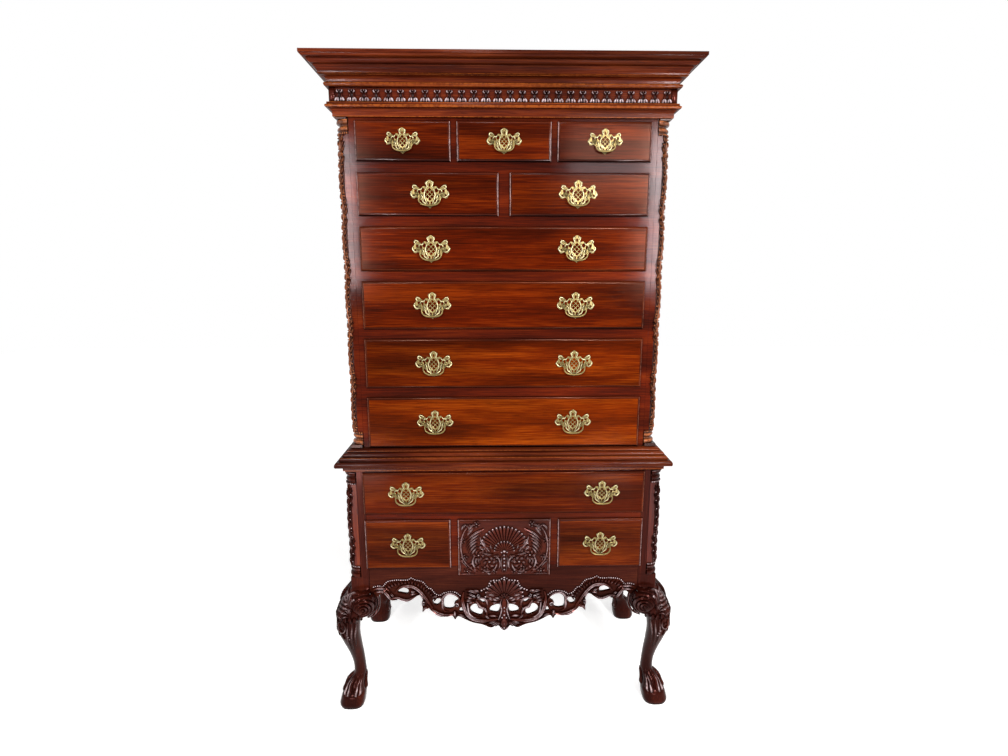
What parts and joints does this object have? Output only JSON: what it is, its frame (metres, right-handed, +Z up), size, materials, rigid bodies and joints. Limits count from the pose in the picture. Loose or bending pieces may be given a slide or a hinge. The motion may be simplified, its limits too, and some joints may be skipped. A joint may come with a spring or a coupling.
{
  "type": "highboy",
  "caption": "Tall chest of drawers on a lower chest with cabriole legs, claw-and-ball feet, carved apron, carved corner columns, lipped drawers and swinging brass bail pulls.",
  "frame": {"origin": "on the floor, under the middle of the whole piece", "axes": "+Z up, +X to the viewer's right when facing the drawers, +Y to the back; drawers open along -Y"},
  "size_m": [1.146, 0.573, 2.083],
  "materials": {
    "frame_wood": "polished dark red-brown",
    "carved_wood": "polished dark carving",
    "drawer_wood": "polished, straight grain",
    "back_wood": "plain, unpolished",
    "brass": "pale cast brass"
  },
  "bodies": {
    "carcass": {"upper_case": "frame_wood", "upper_back_panel": "back_wood", "upper_column_left": "carved_wood", "upper_column_right": "carved_wood", "cornice": "frame_wood", "frieze_band": "carved_wood", "waist_moulding": "frame_wood", "lower_case": "frame_wood", "apron": "carved_wood", "leg_front_left": "carved_wood", "leg_front_right": "carved_wood", "leg_rear_left": "carved_wood", "leg_rear_right": "carved_wood"},
    "drawer_1_left": {"drawer_1_left": "drawer_wood", "pull_plate_1_left": "brass"},
    "bail_1_left": {"bail_1_left": "brass"},
    "drawer_1_middle": {"drawer_1_middle": "drawer_wood", "pull_plate_1_middle": "brass"},
    "bail_1_middle": {"bail_1_middle": "brass"},
    "drawer_1_right": {"drawer_1_right": "drawer_wood", "pull_plate_1_right": "brass"},
    "bail_1_right": {"bail_1_right": "brass"},
    "drawer_2_left": {"drawer_2_left": "drawer_wood", "pull_plate_2_left": "brass"},
    "bail_2_left": {"bail_2_left": "brass"},
    "drawer_2_right": {"drawer_2_right": "drawer_wood", "pull_plate_2_right": "brass"},
    "bail_2_right": {"bail_2_right": "brass"},
    "drawer_3": {"drawer_3": "drawer_wood", "pull_plate_3_left": "brass", "pull_plate_3_right": "brass"},
    "bail_3_left": {"bail_3_left": "brass"},
    "bail_3_right": {"bail_3_right": "brass"},
    "drawer_4": {"drawer_4": "drawer_wood", "pull_plate_4_left": "brass", "pull_plate_4_right": "brass"},
    "bail_4_left": {"bail_4_left": "brass"},
    "bail_4_right": {"bail_4_right": "brass"},
    "drawer_5": {"drawer_5": "drawer_wood", "pull_plate_5_left": "brass", "pull_plate_5_right": "brass"},
    "bail_5_left": {"bail_5_left": "brass"},
    "bail_5_right": {"bail_5_right": "brass"},
    "drawer_6": {"drawer_6": "drawer_wood", "pull_plate_6_left": "brass", "pull_plate_6_right": "brass"},
    "bail_6_left": {"bail_6_left": "brass"},
    "bail_6_right": {"bail_6_right": "brass"},
    "drawer_7": {"drawer_7": "drawer_wood", "pull_plate_7_left": "brass", "pull_plate_7_right": "brass"},
    "bail_7_left": {"bail_7_left": "brass"},
    "bail_7_right": {"bail_7_right": "brass"},
    "drawer_8_left": {"drawer_8_left": "drawer_wood", "pull_plate_8_left": "brass"},
    "bail_8_left": {"bail_8_left": "brass"},
    "drawer_8_carved": {"drawer_8_carved": "carved_wood"},
    "drawer_8_right": {"drawer_8_right": "drawer_wood", "pull_plate_8_right": "brass"},
    "bail_8_right": {"bail_8_right": "brass"}
  },
  "joints": [
    {"name": "drawer_1_left_slide", "type": "slide", "parent": "carcass", "child": "drawer_1_left", "axis": [0, -1, 0], "range_m": [0, 0.3]},
    {"name": "bail_1_left_swing", "type": "hinge", "parent": "drawer_1_left", "child": "bail_1_left", "pos_m": [-0.29967, -0.22668, 1.8595], "axis": [-1, 0, 0], "range_deg": [-8, 170]},
    {"name": "drawer_1_middle_slide", "type": "slide", "parent": "carcass", "child": "drawer_1_middle", "axis": [0, -1, 0], "range_m": [0, 0.3]},
    {"name": "bail_1_middle_swing", "type": "hinge", "parent": "drawer_1_middle", "child": "bail_1_middle", "pos_m": [0, -0.22668, 1.8595], "axis": [-1, 0, 0], "range_deg": [-8, 170]},
    {"name": "drawer_1_right_slide", "type": "slide", "parent": "carcass", "child": "drawer_1_right", "axis": [0, -1, 0], "range_m": [0, 0.3]},
    {"name": "bail_1_right_swing", "type": "hinge", "parent": "drawer_1_right", "child": "bail_1_right", "pos_m": [0.29967, -0.22668, 1.8595], "axis": [-1, 0, 0], "range_deg": [-8, 170]},
    {"name": "drawer_2_left_slide", "type": "slide", "parent": "carcass", "child": "drawer_2_left", "axis": [0, -1, 0], "range_m": [0, 0.3]},
    {"name": "bail_2_left_swing", "type": "hinge", "parent": "drawer_2_left", "child": "bail_2_left", "pos_m": [-0.223, -0.228, 1.70925], "axis": [-1, 0, 0], "range_deg": [-8, 170]},
    {"name": "drawer_2_right_slide", "type": "slide", "parent": "carcass", "child": "drawer_2_right", "axis": [0, -1, 0], "range_m": [0, 0.3]},
    {"name": "bail_2_right_swing", "type": "hinge", "parent": "drawer_2_right", "child": "bail_2_right", "pos_m": [0.223, -0.228, 1.70925], "axis": [-1, 0, 0], "range_deg": [-8, 170]},
    {"name": "drawer_3_slide", "type": "slide", "parent": "carcass", "child": "drawer_3", "axis": [0, -1, 0], "range_m": [0, 0.3]},
    {"name": "bail_3_left_swing", "type": "hinge", "parent": "drawer_3", "child": "bail_3_left", "pos_m": [-0.223, -0.228, 1.549], "axis": [-1, 0, 0], "range_deg": [-8, 170]},
    {"name": "bail_3_right_swing", "type": "hinge", "parent": "drawer_3", "child": "bail_3_right", "pos_m": [0.223, -0.228, 1.549], "axis": [-1, 0, 0], "range_deg": [-8, 170]},
    {"name": "drawer_4_slide", "type": "slide", "parent": "carcass", "child": "drawer_4", "axis": [0, -1, 0], "range_m": [0, 0.3]},
    {"name": "bail_4_left_swing", "type": "hinge", "parent": "drawer_4", "child": "bail_4_left", "pos_m": [-0.223, -0.228, 1.3775], "axis": [-1, 0, 0], "range_deg": [-8, 170]},
    {"name": "bail_4_right_swing", "type": "hinge", "parent": "drawer_4", "child": "bail_4_right", "pos_m": [0.223, -0.228, 1.3775], "axis": [-1, 0, 0], "range_deg": [-8, 170]},
    {"name": "drawer_5_slide", "type": "slide", "parent": "carcass", "child": "drawer_5", "axis": [0, -1, 0], "range_m": [0, 0.3]},
    {"name": "bail_5_left_swing", "type": "hinge", "parent": "drawer_5", "child": "bail_5_left", "pos_m": [-0.223, -0.228, 1.194], "axis": [-1, 0, 0], "range_deg": [-8, 170]},
    {"name": "bail_5_right_swing", "type": "hinge", "parent": "drawer_5", "child": "bail_5_right", "pos_m": [0.223, -0.228, 1.194], "axis": [-1, 0, 0], "range_deg": [-8, 170]},
    {"name": "drawer_6_slide", "type": "slide", "parent": "carcass", "child": "drawer_6", "axis": [0, -1, 0], "range_m": [0, 0.3]},
    {"name": "bail_6_left_swing", "type": "hinge", "parent": "drawer_6", "child": "bail_6_left", "pos_m": [-0.223, -0.228, 1.00125], "axis": [-1, 0, 0], "range_deg": [-8, 170]},
    {"name": "bail_6_right_swing", "type": "hinge", "parent": "drawer_6", "child": "bail_6_right", "pos_m": [0.223, -0.228, 1.00125], "axis": [-1, 0, 0], "range_deg": [-8, 170]},
    {"name": "drawer_7_slide", "type": "slide", "parent": "carcass", "child": "drawer_7", "axis": [0, -1, 0], "range_m": [0, 0.3]},
    {"name": "bail_7_left_swing", "type": "hinge", "parent": "drawer_7", "child": "bail_7_left", "pos_m": [-0.321, -0.253, 0.767], "axis": [-1, 0, 0], "range_deg": [-8, 170]},
    {"name": "bail_7_right_swing", "type": "hinge", "parent": "drawer_7", "child": "bail_7_right", "pos_m": [0.321, -0.253, 0.767], "axis": [-1, 0, 0], "range_deg": [-8, 170]},
    {"name": "drawer_8_left_slide", "type": "slide", "parent": "carcass", "child": "drawer_8_left", "axis": [0, -1, 0], "range_m": [0, 0.3]},
    {"name": "bail_8_left_swing", "type": "hinge", "parent": "drawer_8_left", "child": "bail_8_left", "pos_m": [-0.3205, -0.253, 0.58725], "axis": [-1, 0, 0], "range_deg": [-8, 170]},
    {"name": "drawer_8_carved_slide", "type": "slide", "parent": "carcass", "child": "drawer_8_carved", "axis": [0, -1, 0], "range_m": [0, 0.3]},
    {"name": "drawer_8_right_slide", "type": "slide", "parent": "carcass", "child": "drawer_8_right", "axis": [0, -1, 0], "range_m": [0, 0.3]},
    {"name": "bail_8_right_swing", "type": "hinge", "parent": "drawer_8_right", "child": "bail_8_right", "pos_m": [0.3205, -0.253, 0.58725], "axis": [-1, 0, 0], "range_deg": [-8, 170]}
  ]
}
